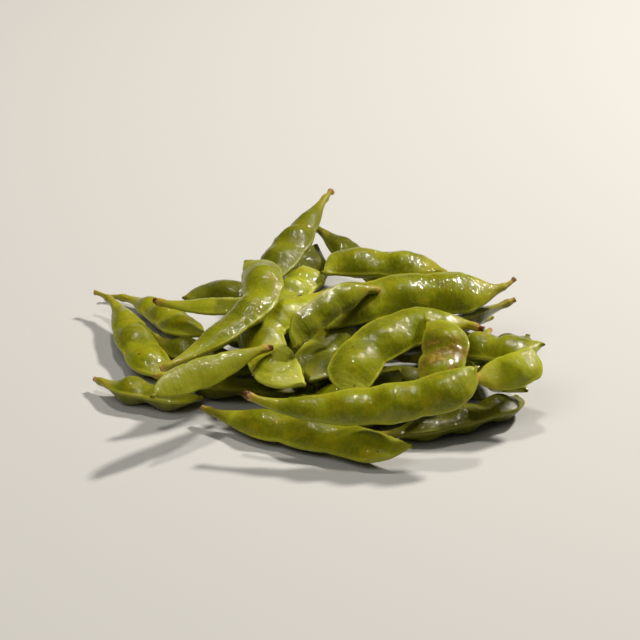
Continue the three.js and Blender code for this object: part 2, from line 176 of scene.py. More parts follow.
@dataclass(frozen=True)
class PodForm:
    """The form of one pod, in millimetres and degrees, as its solid has it.

    Attributes:
        length: From the calyx to the beak.
        width: From suture to suture at a full bean.
        depth: Through a full bean.
        stem: Length of the stub before the calyx.
        cut: Radius of the cut end.
        beans: How plump each bean is, 0 to 1.
        bend: How far the whole pod turns.
        kink: How far it turns in one place.
        kink_at: Where that is, as a share of the line.
        hook: How far the stub curls.
        taper: Share of the body over which the neck widens.
        close: Share of the body over which the far end rounds off.
        point: Length of the pointed beak.
        beak: The side that it lies on, 1 or -1.
    """

    length: float = 58.0
    width: float = 13.0
    depth: float = 9.4
    stem: float = 3.5
    cut: float = 0.9
    beans: tuple[float, ...] = (0.9, 1.0, 0.85)
    bend: float = 24.0
    kink: float = 0.0
    kink_at: float = 0.5
    hook: float = 25.0
    taper: float = 0.36
    close: float = 0.2
    point: float = 1.5
    beak: int = 1

    @property
    def whole(self) -> float:
        """Length of the whole line, from the cut end to the beak."""
        return self.stem + self.length

    def bean_centres(self) -> Array:
        """Where the beans sit, from 0 at the calyx to 1 at the far end."""
        return np.linspace(*BEAN_ENDS[len(self.beans)], len(self.beans))

    def bean_spacing(self) -> float:
        """Distance between two beans, as a share of the body."""
        centres = self.bean_centres()
        return float(centres[1] - centres[0]) if len(centres) > 1 else LONE_SPACING

    def section(self, s: Array) -> Section:
        """Works out the section at shares of the whole line.

        The half width is the stalk's radius until the neck rises as a quarter sine to the full
        width, less a little at each waist, and it falls as a quarter circle at the far end. The
        depth is that of a thin wall plus a bell curve for each bean.

        Args:
            s: Shares of the whole line, 0 at the cut end and 1 at the beak.

        Returns:
            The measures, each with the shape of s.
        """
        along = s * self.whole - self.stem
        body = np.minimum(1.0, along / (self.length - self.point))
        away = body[..., None] - self.bean_centres()
        spacing = self.bean_spacing()
        bells = np.exp(-((away / (spacing * BEAN_SPREAD)) ** 2))
        swelling = np.minimum(1.0, (bells * np.array(self.beans)).sum(-1))
        waist = np.clip(np.minimum(1.0, np.abs(away).min(-1) / (spacing / 2)), 0, 1) ** 2
        rise = np.sin(math.pi / 2 * np.clip(body / self.taper, 0, 1)) ** NECK_POWER
        left = np.clip((1 - body) / self.close, 0, 1)
        rounding = np.sqrt(np.maximum(0.0, 1 - (1 - left) ** 2))
        fall = rounding * (1 - FALL_CONE) + left * FALL_CONE
        collar = np.exp(-((along / COLLAR_LENGTH) ** 2))
        cut = np.exp(-((s * self.whole / CUT_END_LENGTH) ** 2))
        stub = STEM_RADIUS + (self.cut - STEM_RADIUS) * cut
        stalk = np.where(along > 0, NECK_RADIUS, stub)
        core = np.maximum(stalk, STEM_RADIUS + (COLLAR_RADIUS - STEM_RADIUS) * collar)
        half = self.width / 2 * (1 - WAIST_WIDTH * waist)
        lift = np.where(body > 0, rise, 0.0)
        drawn = np.clip((1 - s) * self.whole / self.point, 0, 1) ** POINT_POWER
        thin = np.where(body > 0.5, POINT_RADIUS * drawn, 0.0)
        wall = self.depth / 2 * lift * fall**FALL_DEPTH_POWER
        return Section(
            along=along,
            body=body,
            lift=lift,
            fall=fall,
            core=core * (1 - lift),
            half_width=np.maximum(thin, core * (1 - lift) + half * lift * fall),
            shell=wall * FLAT_DEPTH,
            bean=wall * (1 - FLAT_DEPTH) * swelling,
            shift=self.beak * half * BEAK_OFFSET * (1 - fall),
            thin=thin,
        )

    def line(self) -> tuple[Array, Array]:
        """The pod's own line, which bends, kinks and hooks within one plane.

        The direction turns evenly by the bend, by a tanh at the kink, and by an exponential at
        the stub. The points are the running sum of the steps in that direction.

        Returns:
            Points on the line and the unit sideways direction at each.
        """
        s = np.arange(LINE_STEPS + 1) / LINE_STEPS
        reach = HOOK_REACH + self.stem / self.whole / 2
        turn = (
            math.radians(self.bend) * (s - 0.5)
            + math.radians(self.kink) * 0.5 * np.tanh((s - self.kink_at) / KINK_REACH)
            - math.radians(self.hook) * np.exp(-s / reach)
        )
        turn = turn - math.atan2(np.sin(turn).sum(), np.cos(turn).sum())
        flat = np.zeros_like(turn)
        forward = np.stack([np.cos(turn), np.sin(turn), flat], -1)
        side = np.stack([-np.sin(turn), np.cos(turn), flat], -1)
        at = np.cumsum(forward, 0) - forward
        return at * self.whole / LINE_STEPS, side

    def bend_into_place(self, s: Array, across: Array, up: Array) -> Array:
        """Carries points of the straightened pod onto its own line.

        Args:
            s: Share of the line for each row of points.
            across: Distance towards the left suture, one row for each s.
            up: Distance out of the pod's flat plane.

        Returns:
            Points with a last axis of three.
        """
        at, side = self.line()
        spot = np.clip(s, 0, 1) * LINE_STEPS
        steps = np.arange(LINE_STEPS + 1)
        centre = np.stack([np.interp(spot, steps, at[:, i]) for i in range(3)], -1)
        sideways = np.stack([np.interp(spot, steps, side[:, i]) for i in range(3)], -1)
        points = centre[:, None, :] + sideways[:, None, :] * across[..., None]
        points[..., 2] += up
        return points

    def solid_points(self, rings: int) -> Array:
        """The corners of the pod's plain solid, to find its place by.

        Args:
            rings: Number of steps that the solid has along the line.

        Returns:
            Points, the poles first and last.
        """
        v = np.arange(rings + 1) / rings
        s = towards_ends(v)
        angle = 2 * math.pi * np.arange(SOLID_SIDES) / SOLID_SIDES
        at = self.section(s)
        power = 1 + (SECTION_POWER - 1) * at.lift
        depth = np.maximum(at.thin, at.core + at.shell + at.bean)
        round_up = np.sign(np.sin(angle)) * np.abs(np.sin(angle)) ** power[:, None]
        across = at.shift[:, None] + at.half_width[:, None] * np.cos(angle)
        points = self.bend_into_place(s, across, depth[:, None] * round_up)
        ends = self.bend_into_place(s, at.shift[:, None], np.zeros((len(s), 1)))
        return np.concatenate([ends[0], points[1:-1].reshape(-1, 3), ends[-1]])


# ---- Finding where a pod lies ------------------------------------------------------------------

FIT_ROUNDS = 40  # matches made from each start
FIT_SHARE = 0.8  # share of the corners used, because the surface cuts some of them off
FIT_SIGNS = ((1, 1), (1, -1), (-1, 1), (-1, -1))
FIT_SLIDES = (0.0, 4.0, -4.0)  # mm along the pod, to start from
EXACT_FIT = 0.02  # mm, good enough to stop at
WORST_FIT = 0.25  # mm
ON_FLOOR = 0.02  # mm, below which a corner lies on the floor


@dataclass
class Seat:
    """Where a pod lies in the heap: a turn, then a shift."""

    turn: Array
    shift: Array

    def place(self, points: Array) -> Array:
        """Carries points from the pod's own frame into the heap."""
        return points @ self.turn.T + self.shift

    @staticmethod
    def _rigid(source: Array, target: Array) -> "Seat":
        """The turn and shift that bring matched points together with the least squared error.

        Args:
            source: Points in the pod's own frame.
            target: The point of the heap that each belongs to.

        Returns:
            The seat.
        """
        a, b = source.mean(0), target.mean(0)
        u, _, vt = np.linalg.svd((source - a).T @ (target - b))
        flip = np.diag([1, 1, np.linalg.det(vt.T @ u.T)])
        turn = vt.T @ flip @ u.T
        return Seat(turn, b - turn @ a)

    @classmethod
    def of(cls, corners: Array, solid: Array) -> tuple["Seat", float]:
        """Lays a pod's corners on its solid.

        The two clouds' main axes give four possible turns. From each, slid a little along the
        pod if need be, every corner is matched to the nearest point of the solid and the best
        matches give a better turn, again and again. The solid's corners on the floor are left out.

        Args:
            corners: The corners of the form, in its own frame.
            solid: The corners of the solid, where it lies.

        Returns:
            The best seat and the mean distance that is left.
        """
        solid = solid[solid[:, 2] > ON_FLOOR]
        axes = [np.linalg.svd(c - c.mean(0), full_matrices=False)[2] for c in (corners, solid)]
        kept = int(len(corners) * FIT_SHARE)
        best, least = None, math.inf
        for slide, signs in product(FIT_SLIDES, FIT_SIGNS):
            frame = np.diag([*signs, 1.0]) @ axes[0]
            frame[2] = np.cross(frame[0], frame[1])
            goal = axes[1].copy()
            goal[2] = np.cross(goal[0], goal[1])
            turn = goal.T @ frame
            start = solid.mean(0) + slide * axes[1][0]
            seat = cls(turn, start - turn @ corners.mean(0))
            for _ in range(FIT_ROUNDS):
                gaps = np.linalg.norm(seat.place(corners)[:, None] - solid[None], axis=-1)
                near = gaps.argmin(1)
                order = gaps.min(1).argsort()[:kept]
                seat = cls._rigid(corners[order], solid[near[order]])
            left = float(gaps.min(1)[order].mean())
            if left < least:
                best, least = seat, left
            if least < EXACT_FIT:
                break
        assert best is not None
        return best, least


# ---- Irregular surfaces ------------------------------------------------------------------------


def lattice_noise(points: Array, cell: float | tuple[float, float, float], seed: int) -> Array:
    """Smooth noise between -1 and 1.

    Each corner of a grid of cells gets a number from a whole-number hash of its place. A point
    takes the mix of its cell's eight corners, by weights t * t * (3 - 2 t) along each axis.

    Args:
        points: Places, with a last axis of three.
        cell: Size of a cell, or its size along each axis.
        seed: Chooses another pattern.

    Returns:
        One number for each place.
    """
    scaled = points / np.array(cell, float)
    corner = np.floor(scaled).astype(np.int64)
    part = scaled - corner
    weight = part * part * (3 - 2 * part)
    total = np.zeros(points.shape[:-1])
    for step in np.ndindex(2, 2, 2):
        place = (corner + np.array(step)).astype(np.uint64)
        mixed = place[..., 0] * np.uint64(374761393) + place[..., 1] * np.uint64(668265263)
        mixed += place[..., 2] * np.uint64(2147483647) + np.uint64(seed * 144665 + 1013)
        mixed = (mixed ^ (mixed >> np.uint64(13))) * np.uint64(1274126177)
        mixed = (mixed ^ (mixed >> np.uint64(16))) & np.uint64(0xFFFFFF)
        share = np.prod(np.where(np.array(step) == 1, weight, 1 - weight), axis=-1)
        total += share * (mixed.astype(float) / 0x7FFFFF - 1)
    return total


def smooth_step(low: float, high: float, value: Array) -> Array:
    """0 below low, 1 above high, and t * t * (3 - 2 t) between them."""
    t = np.clip((value - low) / (high - low), 0, 1)
    return t * t * (3 - 2 * t)


# ---- Looks --------------------------------------------------------------------------------------


class Skin(Enum):
    """The record's material slots."""

    PALE = "pale_pod"
    GREEN = "green_pod"
    DEEP = "deep_pod"


class Stub(Enum):
    """How far the picked end has dried, from still green to dark brown."""

    FRESH = 0.0
    TAN = 0.3
    ROSY = 0.6
    DARK = 1.0


@dataclass(frozen=True)
class PodLook:
    """What sets one pod's looks apart.

    Attributes:
        skin: The slot it is painted from.
        ripe: How far it has turned yellow, 0 to 1.
        stub: How its picked end has dried.
        scarred: Whether brown scars cover its middle.
        dents: How far its skin has sunk between the beans, 1 as usual.
        dull: How dry its surface is, 0 to 1.
        dark: How far the whole wall is darkened towards the deep tone, 0 to 1.
    """

    skin: Skin = Skin.GREEN
    ripe: float = 0.3
    stub: Stub = Stub.TAN
    scarred: bool = False
    dents: float = 1.0
    dull: float = 0.0
    dark: float = 0.0


# ---- The fine pod -------------------------------------------------------------------------------

RING_SPACING = 0.36  # mm along a pod that shows
SIDES = 72
PACKED_SPACING = 0.7
PACKED_SIDES = 40
SEED_COUNT = 997
FIT_INSIDE = 0.972  # the round section between the eight-sided solid's corners and flats
WALL_POWER = 0.9
DOME_POWER = 0.85
BEAN_REACH = 0.93  # how far across a bean swells the wall, in half widths
END_ROUNDING = 0.35  # mm, on the rim of the cut end
CUT_RINGS = 6  # steps from the middle of the cut end to its rim
CUT_HOLLOW = 0.5  # mm, how far the pith has sunk in the cut end
TEETH = 5  # the calyx ends in five teeth
TOOTH_LENGTH = 1.5  # mm
CALYX_LENGTH = 1.0  # mm past the collar's middle, without its teeth
CALYX_THICKNESS = 0.1  # mm
RIBS = 7  # down the stub
RIB_HEIGHT = 0.04  # mm
RIDGE_HEIGHT = 0.2  # mm, of a suture beside a full bean
FLAT_RIDGE_HEIGHT = 0.3  # mm more beside an empty chamber
RIDGE_REACH = 0.55  # mm from the suture
GROOVE_DEPTH = 0.3  # mm, in the suture that opens
SHUT_GROOVE = 0.35  # share of it that the other suture has
GROOVE_REACH = 0.14  # mm
OUTLINE_DEPTH = 0.04  # mm, round a plump bean
SLACK_DEPTH = 0.22  # mm more where the bean is missing
OUTLINE_REACH, PLUMP_REACH = 0.34, 0.08  # half length in spacings, and what a plump bean adds
OUTLINE_ACROSS = 0.7  # half width, in half widths of the pod
OUTLINE_RING, OUTLINE_WIDTH = 1.05, 0.18  # where its line runs and how wide, in those halves
DENT_DEPTH = 0.3  # mm
DENT_CELL = (8.0, 5.0, 5.0)  # mm along, across and above
LUMP_HEIGHT = 0.13  # mm
LUMP_CELL = (3.2, 2.4, 2.4)
# Cell, height in mm and what is added to the pod's seed: cross wrinkles, finer ones, pebbles.
WRINKLES = (((1.5, 6.0, 6.0), 0.075, 2), ((0.9, 3.0, 3.0), 0.035, 3), ((1.0, 1.0, 1.0), 0.035, 5))
PALE_SEAM_REACH = 0.8  # mm from the suture


@dataclass
class Pod:
    """One pod: the fine surface, its relief and the maps that its skin is painted by."""

    name: str
    form: PodForm
    look: PodLook
    packed: bool = False
    seed: int = field(init=False)

    def __post_init__(self) -> None:
        """Gives each pod its own relief, from the letters of its name."""
        self.seed = sum((i + 1) * ord(c) for i, c in enumerate(self.name)) % SEED_COUNT

    def _shares(self) -> Array:
        """Places the rings, closer together at both ends.

        Returns:
            Shares of the line, with the rings of the cut end's face and rim first.
        """
        spacing = PACKED_SPACING if self.packed else RING_SPACING
        rounding = END_ROUNDING / self.form.whole
        v = np.linspace(0, 1, round(self.form.whole / spacing) + 1)
        s = towards_ends(v)
        rim = 1 - np.cos(math.pi / 2 * np.arange(CUT_RINGS) / CUT_RINGS)
        return np.concatenate([rim * rounding, s[s > rounding]])

    def _blunt(self, s: Array) -> Array:
        """How far the cut end has opened to its full width: a quarter circle over its rim."""
        end = np.clip(s * self.form.whole / END_ROUNDING, 0, 1)
        return np.sqrt(1 - (1 - end) ** 2)

    def _straight(self, s: Array, angle: Array, at: Section) -> Array:
        """The smooth surface of the straightened pod.

        Across is the half width times the cosine of the angle. Up is the stalk's sine, plus the
        wall's, plus the beans' depth times 1 - (cosine / reach)^2, each to its own power.

        Args:
            s: Shares of the line.
            angle: Angles round the section, from the left suture.
            at: The section's measures at s.

        Returns:
            Points (along, across, up) on a grid of rings and sides.
        """
        cosine, sine = np.cos(angle), np.sin(angle)
        blunt = self._blunt(s)[:, None]
        dome = np.maximum(0.0, 1 - (cosine / BEAN_REACH) ** 2) ** DOME_POWER
        up = at.core[:, None] * np.abs(sine) + at.shell[:, None] * np.abs(sine) ** WALL_POWER
        up = np.maximum(up + at.bean[:, None] * dome, at.thin[:, None] * np.abs(sine))
        across = at.half_width[:, None] * cosine * blunt * FIT_INSIDE
        along = np.broadcast_to(at.along[:, None], across.shape)
        up = up * np.sign(sine) * blunt * FIT_INSIDE
        return np.stack([along, across + at.shift[:, None], up], -1)

    def _relief(self, straight: Array, angle: Array, at: Section) -> Array:
        """Height of the fine relief above the smooth surface.

        It is the sum of the raised sutures, a groove along the one that opens, the sunk outline
        of each bean, dents, cross wrinkles, the calyx's teeth and the stub's ribs.

        Args:
            straight: The smooth surface of the straightened pod.
            angle: Angles round the section.
            at: The section's measures.

        Returns:
            Millimetres on the grid.
        """
        form, look, seed = self.form, self.look, self.seed
        cosine = np.cos(angle)[None, :]
        off_seam = np.abs(straight[..., 2])
        edge = at.fade[:, None]
        ridge = (RIDGE_HEIGHT + FLAT_RIDGE_HEIGHT * (1 - at.full))[:, None]
        ridge = ridge * np.exp(-((off_seam / RIDGE_REACH) ** 2)) * edge
        opening = np.where(cosine * form.beak > 0, 1.0, SHUT_GROOVE)
        groove = GROOVE_DEPTH * opening * np.exp(-((off_seam / GROOVE_REACH) ** 2)) * edge
        height = ridge - groove

        spacing = form.bean_spacing()
        for centre, plump in zip(form.bean_centres(), form.beans):
            x = (at.body[:, None] - centre) / (spacing * (OUTLINE_REACH + PLUMP_REACH * plump))
            ring = np.sqrt(x**2 + (cosine / OUTLINE_ACROSS) ** 2)
            sunk = (OUTLINE_DEPTH + SLACK_DEPTH * (1 - plump)) * look.dents
            height -= sunk * np.exp(-(((ring - OUTLINE_RING) / OUTLINE_WIDTH) ** 2)) * edge

        lumps = lattice_noise(straight, LUMP_CELL, seed + 1)
        height += edge * DENT_DEPTH * look.dents * lattice_noise(straight, DENT_CELL, seed)
        height += edge * LUMP_HEIGHT * lumps
        for cell, rise, added in WRINKLES:
            height += edge * rise * lattice_noise(straight, cell, seed + added)

        along = straight[..., 0]
        tooth = CALYX_LENGTH + TOOTH_LENGTH * np.abs(np.cos(TEETH / 2 * angle))[None, :]
        calyx = smooth_step(0, 0.5, tooth + 0.5 * lumps - along)
        height += CALYX_THICKNESS * calyx * smooth_step(-1.6, -0.9, along)
        ribs = np.cos(RIBS * angle)[None, :] + 1.2 * lattice_noise(straight, 1.1, seed + 4)
        height += RIB_HEIGHT * ribs * smooth_step(0.4, -1.2, along)
        return height

    def surface(self) -> tuple[Array, dict[str, Array]]:
        """The finished surface in the pod's own frame.

        The relief is added along the smooth surface's normal, which is the cross product of its
        steps round and along.

        Returns:
            Points on a grid of rings and sides, and the maps by name. "left" and "gone" are the
            millimetres to the beak and from the cut end.
        """
        s = self._shares()
        sides = PACKED_SIDES if self.packed else SIDES
        angle = 2 * math.pi * np.arange(sides) / sides
        at = self.form.section(s)
        straight = self._straight(s, angle, at)
        pith = 1 - self._blunt(s) ** 2
        sunk = s + pith * CUT_HOLLOW / self.form.whole
        smooth = self.form.bend_into_place(sunk, straight[..., 1], straight[..., 2])
        step_round = np.roll(smooth, -1, 1) - np.roll(smooth, 1, 1)
        step_along = np.gradient(smooth, axis=0)
        normal = np.cross(step_round, step_along)
        normal /= np.maximum(np.linalg.norm(normal, axis=-1, keepdims=True), 1e-9)
        height = self._relief(straight, angle, at)
        height[[0, -1]] = 0
        points = smooth + normal * height[..., None]
        off_seam = np.abs(straight[..., 2])
        maps = {
            "straight": straight,
            "seam": np.exp(-((off_seam / PALE_SEAM_REACH) ** 2)) * at.fade[:, None],
            "full": np.broadcast_to(at.full[:, None], off_seam.shape),
            "left": np.broadcast_to(((1 - s) * self.form.whole)[:, None], off_seam.shape),
            "gone": np.broadcast_to((s * self.form.whole)[:, None], off_seam.shape),
            "pith": np.broadcast_to(pith[:, None], off_seam.shape),
            "relief": height,
        }
        return points, maps

    def build(self, solid: bpy.types.Object, low: Array, high: Array) -> bpy.types.Object:
        """Makes the pod's object where its solid lies.

        Args:
            solid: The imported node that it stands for.
            low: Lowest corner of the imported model, in millimetres.
            high: Highest corner.

        Returns:
            The new object.
        """
        raw = np.zeros(len(solid.data.vertices) * 3, np.float32)
        solid.data.vertices.foreach_get("co", raw)
        corners = np.unique(np.round(raw.reshape(-1, 3).astype(float) / MM, 3), axis=0)
        rings = PACKED_RINGS if self.packed else SHOWN_RINGS
        seat, left = Seat.of(self.form.solid_points(rings), corners)
        if left > WORST_FIT:
            raise ValueError(f"{self.name} doesn't fit its solid: {left:.2f} mm off")
        points, maps = self.surface()
        placed = np.clip(seat.place(points.reshape(-1, 3)), low, high).reshape(points.shape)
        obj = self._mesh(placed, maps)
        log.info("%s: %d faces, %.3f mm off its solid", self.name, len(obj.data.polygons), left)
        return obj

    def _mesh(self, points: Array, maps: dict[str, Array]) -> bpy.types.Object:
        """Joins the grid into a closed mesh, with one vertex at each pole.

        Args:
            points: The surface, rings by sides, in the heap's frame.
            maps: Values for each grid point, by name.

        Returns:
            The object, linked to the scene.
        """
        rings, sides = points.shape[:2]

        def unroll(grid: Array) -> Array:
            """Lists a grid's values by vertex, with the mean of a pole's ring for the pole."""
            flat = grid.reshape(rings, sides, -1)
            body = flat[1:-1].reshape(-1, flat.shape[-1])
            return np.concatenate([flat[0].mean(0)[None], body, flat[-1].mean(0)[None]])

        row = np.arange(rings - 3)[:, None] * sides + 1
        here = np.arange(sides)[None, :]
        there = (here + 1) % sides
        quads = np.stack(
            [row + here, row + there, row + sides + there, row + sides + here], -1
        ).reshape(-1, 4)
        last = (rings - 2) * sides + 1
        first_fan = np.stack([np.zeros(sides, int), 1 + there[0], 1 + here[0]], -1)
        tail = last - sides
        last_fan = np.stack([np.full(sides, last), tail + here[0], tail + there[0]], -1)
        mesh = bpy.data.meshes.new(self.name)
        faces = [*first_fan.tolist(), *quads.tolist(), *last_fan.tolist()]
        mesh.from_pydata((unroll(points) * MM).tolist(), [], faces)
        mesh.polygons.foreach_set("use_smooth", np.ones(len(faces), bool))
        for name, grid in maps.items():
            values = unroll(np.array(grid))
            kind = "FLOAT_VECTOR" if values.shape[1] == 3 else "FLOAT"
            layer = mesh.attributes.new(name, kind, "POINT")
            layer.data.foreach_set("vector" if kind == "FLOAT_VECTOR" else "value", values.ravel())
        for name, value in (
            ("ripe", self.look.ripe),
            ("dried", self.look.stub.value),
            ("scar", float(self.look.scarred)),
            ("dull", self.look.dull),
            ("dark", self.look.dark),
        ):
            layer = mesh.attributes.new(name, "FLOAT", "POINT")
            layer.data.foreach_set("value", np.full(len(mesh.vertices), value))
        mesh.update()
        obj = bpy.data.objects.new(f"{self.name}_pod", mesh)
        bpy.context.scene.collection.objects.link(obj)
        return obj


# ---- Finishes -----------------------------------------------------------------------------------

MIX_A, MIX_B, MIX_RESULT = 6, 7, 2  # sockets of a Mix node that mixes colours
IN, FROM, TO, LEAST, MOST = range(5)  # sockets of a Map Range node


def linear(code: str) -> tuple[float, float, float, float]:
    """Turns an sRGB hex colour into a linear one.

    Args:
        code: The colour, as "#RRGGBB".

    Returns:
        Red, green, blue and alpha.
    """
    parts = [int(code[i : i + 2], 16) / 255 for i in (1, 3, 5)]
    bent = [c / 12.92 if c <= 0.04045 else ((c + 0.055) / 1.055) ** 2.4 for c in parts]
    return (bent[0], bent[1], bent[2], 1.0)


def add_node(
    tree: bpy.types.NodeTree,
    kind: str,
    inputs: dict[str | int, Any],
    out: str | int | None,
    **settings: Any,
) -> bpy.types.NodeSocket | None:
    """Adds a node with its settings, values and links.

    Args:
        tree: The node tree.
        kind: The node's type name, after "ShaderNode".
        inputs: Values by socket name or number; a socket given as a value is linked.
        out: The output wanted, by name or number, or None for a node without one.
        **settings: The node's own properties.

    Returns:
        The output.
    """
    node = tree.nodes.new(f"ShaderNode{kind}")
    for name, value in settings.items():
        setattr(node, name, value)
    for key, value in inputs.items():
        if isinstance(value, bpy.types.NodeSocket):
            tree.links.new(value, node.inputs[key])
        else:
            node.inputs[key].default_value = value
    return None if out is None else node.outputs[out]


SKIN_MAPS = (
    "ripe", "full", "relief", "seam", "scar", "dried", "dull", "dark", "left", "gone", "pith",
)
PLUS = {"operation": "ADD"}
TIMES = {"operation": "MULTIPLY"}
EASED = {"interpolation_type": "SMOOTHSTEP"}


@dataclass(frozen=True)
class Grain:
    """One noise pattern on the skin.

    Attributes:
        size: Size of its features, in millimetres.
        detail: How many finer patterns lie on it.
        rough: How strong these are.
        stretch: How many times longer they are along, across and above the straightened pod.
    """

    size: float
    detail: float = 2.0
    rough: float = 0.5
    stretch: tuple[float, float, float] | None = None


GRAINS = {
    "clouds": Grain(12, 3),
    "mottle": Grain(4.2, 3, 0.6),
    "flecks": Grain(0.9),
    "wrinkles": Grain(1.1, 2, 0.55, stretch=(1, 6, 6)),
    "fine": Grain(0.65, 2, 0.5, stretch=(1, 5, 5)),
    "drops": Grain(0.95, 1, 0.4),
    "crackle": Grain(2.2, 4, 0.75),
    "polish": Grain(5, 2),
}


@dataclass(frozen=True)
class PodSkin:
    """Boiled soybean pod skin, grown and then boiled in salted water.

    The wall goes glassy and olive, with yellower clouds, paler along the sutures and over empty
    chambers. A film of water over fine cross wrinkles breaks each light into bright grains.
    """

    name: str
    green: str
    deep: str
    yellow: str
    rim: str

    SPOT = "#46320C"
    NECK = "#8F8420"
    STUB_TAN = "#AE8A45"
    STUB_DARK = "#50290F"
    PITH = "#32150A"
    SCAR = "#6A4C14"
    SCAR_PALE = "#A98F45"
    SPOT_SPACING = 6.5  # mm
    WALL_RELIEF = 0.22  # mm
    FILM_RELIEF = 0.33  # mm
    FILM_ROUGHNESS = 0.055
    WET, DRY = 0.65, 0.08  # how much of the wall the film covers

    def build(self) -> bpy.types.Material:
        """Makes the material.

        Returns:
            The material, with nodes for colour, roughness and bump.
        """
        material = bpy.data.materials.new(self.name)
        material.use_nodes = True
        tree = material.node_tree
        tree.nodes.clear()
        add = partial(add_node, tree)
        place = add("TexCoord", {}, "Object")
        straight = add("Attribute", {}, "Vector", attribute_name="straight")
        along = add("SeparateXYZ", {0: straight}, "X")
        here = {name: add("Attribute", {}, "Fac", attribute_name=name) for name in SKIN_MAPS}
        grains: dict[str, bpy.types.NodeSocket] = {}
        for name, grain in GRAINS.items():
            where = place
            if grain.stretch:
                squeezed = tuple(MM / factor for factor in grain.stretch)
                where = add("VectorMath", {0: straight, 1: squeezed}, "Vector", **TIMES)
            inputs = {"Scale": 1 / (grain.size * MM), "Detail": grain.detail}
            inputs |= {"Vector": where, "Roughness": grain.rough}
            grains[name] = add("TexNoise", inputs, "Fac")
        cells = {"Vector": place, "Scale": 1 / (self.SPOT_SPACING * MM), "Randomness": 1.0}
        from_spot = add("TexVoronoi", cells, "Distance")
        chosen = add("SeparateColor", {0: add("TexVoronoi", cells, "Color")}, "Red")

        # The wall: clouds, yellow patches, pale chambers and sutures, dark streaks along the wrinkles, and
        # painted shade where the relief sinks into grooves, bean outlines and dents.
        patches = add("MapRange", {IN: grains["clouds"], FROM: 0.64, TO: 0.36, MOST: 0.65}, 0, **EASED)
        golden = add("MapRange", {IN: grains["mottle"], FROM: 0.45, TO: 0.72}, 0, **EASED)
        golden = add("Math", {0: golden, 1: here["ripe"]}, 0, **PLUS)
        golden = add("MapRange", {IN: golden, FROM: 0.35, TO: 1.4, MOST: 0.6}, 0, **EASED)
        empty = add("MapRange", {IN: here["full"], FROM: 0.75, TO: 0.2, MOST: 0.35}, 0, **EASED)
        # Painted shade: the deep tone laid where the relief sinks, in grooves, bean outlines and dents.
        sunk = add("MapRange", {IN: here["relief"], FROM: 0.05, TO: -0.4, MOST: 0.5}, 0, **EASED)
        flecked = add("MapRange", {IN: grains["flecks"], FROM: 0.4, TO: 0.75, MOST: 0.22}, 0, **EASED)
        creased = add("MapRange", {IN: grains["wrinkles"], FROM: 0.45, TO: 0.7, MOST: 0.2}, 0, **EASED)
        suture = add("Math", {0: here["seam"], 1: 0.6}, 0, **TIMES)

        # Brown specks, in some of the cells only.
        spotted = add("MapRange", {IN: from_spot, FROM: 0.08, TO: 0.035}, 0, **EASED)
        picked = add("MapRange", {IN: chosen, FROM: 0.6, TO: 0.7, MOST: 0.85}, 0, **EASED)
        spotted = add("Math", {0: spotted, 1: picked}, 0, **TIMES)

        # Scars over the middle, with corky cracks in them.
        band = add("MapRange", {IN: here["left"], FROM: 35, TO: 27}, 0, **EASED)
        band_end = add("MapRange", {IN: here["left"], FROM: 12, TO: 18}, 0, **EASED)
        band = add("Math", {0: band, 1: band_end}, 0, **TIMES)
        band = add("Math", {0: band, 1: here["scar"]}, 0, **TIMES)
        scarred = add("MapRange", {IN: grains["mottle"], FROM: 0.4, TO: 0.55, MOST: 0.7}, 0, **EASED)
        scarred = add("Math", {0: scarred, 1: band}, 0, **TIMES)
        corky = add("MapRange", {IN: grains["crackle"], FROM: 0.45, TO: 0.6, MOST: 0.8}, 0, **EASED)
        corky = add("Math", {0: corky, 1: scarred}, 0, **TIMES)

        # The yellow neck, the dried stub and the beak.
        ragged = add("MapRange", {IN: grains["mottle"], FROM: 0.2, TO: 0.8, LEAST: -2, MOST: 2}, 0, **EASED)
        past_calyx = add("Math", {0: along, 1: ragged}, 0, **PLUS)
        neck = add("MapRange", {IN: past_calyx, FROM: 10, TO: 1, MOST: 0.7}, 0, **EASED)
        uneven = add("MapRange", {IN: grains["flecks"], FROM: 0.3, TO: 0.7, LEAST: -0.8, MOST: 0.8}, 0)
        past_cut = add("Math", {0: here["gone"], 1: uneven}, 0, **PLUS)
        reach = add("MapRange", {IN: here["dried"], LEAST: 1.4, MOST: 4.0}, 0)
        past_dried = add("Math", {0: past_cut, 1: reach}, 0, operation="DIVIDE")
        tan = add("MapRange", {IN: past_dried, FROM: 1.1, TO: 0.6, MOST: 0.95}, 0, **EASED)
        brown = add("MapRange", {IN: past_dried, FROM: 0.75, TO: 0.35}, 0, **EASED)
        brown = add("Math", {0: brown, 1: here["dried"]}, 0, **TIMES)
        beak = add("MapRange", {IN: here["left"], FROM: 1.3, TO: 0.2, MOST: 0.8}, 0, **EASED)

        colour: Any = linear(self.green)
        for part, tone in (
            (patches, self.deep),
            (golden, self.yellow),
            (empty, self.rim),
            # painted shade in the sunk relief
            (sunk, self.deep),
            (flecked, self.rim),
            (creased, self.deep),
            (suture, self.rim),
            (here["dark"], self.deep),
            (spotted, self.SPOT),
            (scarred, self.SCAR),
            (corky, self.SCAR_PALE),
            (neck, self.NECK),
            (tan, self.STUB_TAN),
            (brown, self.STUB_DARK),
            (here["pith"], self.PITH),
            (beak, self.SPOT),
        ):
            layers = {0: part, MIX_A: colour, MIX_B: linear(tone)}
            colour = add("Mix", layers, MIX_RESULT, data_type="RGBA")

        # How matt the wall is under its film.
        matt = add("MapRange", {IN: grains["polish"], FROM: 0.35, TO: 0.65, LEAST: 0.34, MOST: 0.48}, 0)
        for extra in (
            add("Math", {0: here["dull"], 1: 0.3}, 0, **TIMES),
            add("MapRange", {IN: past_dried, FROM: 1.2, TO: 0.8, MOST: 0.3}, 0),
            add("Math", {0: corky, 1: 0.25}, 0, **TIMES),
        ):
            matt = add("Math", {0: matt, 1: extra}, 0, **PLUS)

